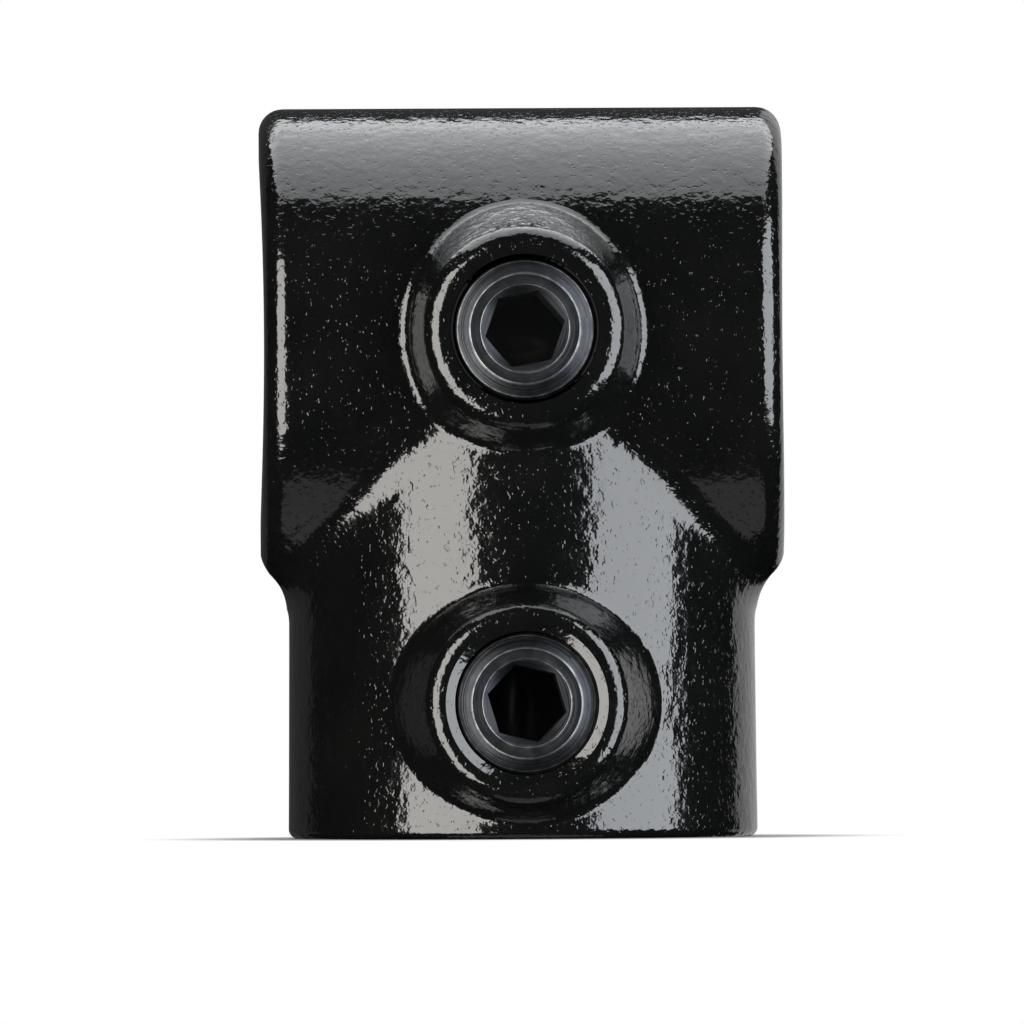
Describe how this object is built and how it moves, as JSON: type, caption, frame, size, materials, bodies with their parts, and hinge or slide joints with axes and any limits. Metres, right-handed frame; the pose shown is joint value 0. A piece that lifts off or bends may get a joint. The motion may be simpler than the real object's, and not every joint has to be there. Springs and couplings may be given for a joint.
{
  "type": "tube clamp tee fitting",
  "caption": "Cast tee clamp: a collar grips a through tube, a branch collar takes a tube end at right angles, each held by a hexagon socket set screw.",
  "frame": {"origin": "where the through bore's axis and the branch socket's axis cross", "axes": "+X along the through bore, +Z away from the branch, -Y the way the set screws face"},
  "size_m": [0.0494, 0.05, 0.0693],
  "materials": {
    "powder_coat": "gloss black powder coat with fine orange peel, on malleable cast iron",
    "dark_steel": "satin black oxide on case-hardened steel"
  },
  "bodies": {
    "casting": {"cast_body": "powder_coat"},
    "upper_screw": {"upper_set_screw": "dark_steel"},
    "lower_screw": {"lower_set_screw": "dark_steel"}
  },
  "joints": [
    {"name": "upper_screw_travel", "type": "slide", "parent": "casting", "child": "upper_screw", "axis": [0, 1, 0], "range_m": [-0.004, 0.0017]},
    {"name": "lower_screw_travel", "type": "slide", "parent": "casting", "child": "lower_screw", "axis": [0, 1, 0], "range_m": [-0.004, 0.001]}
  ]
}
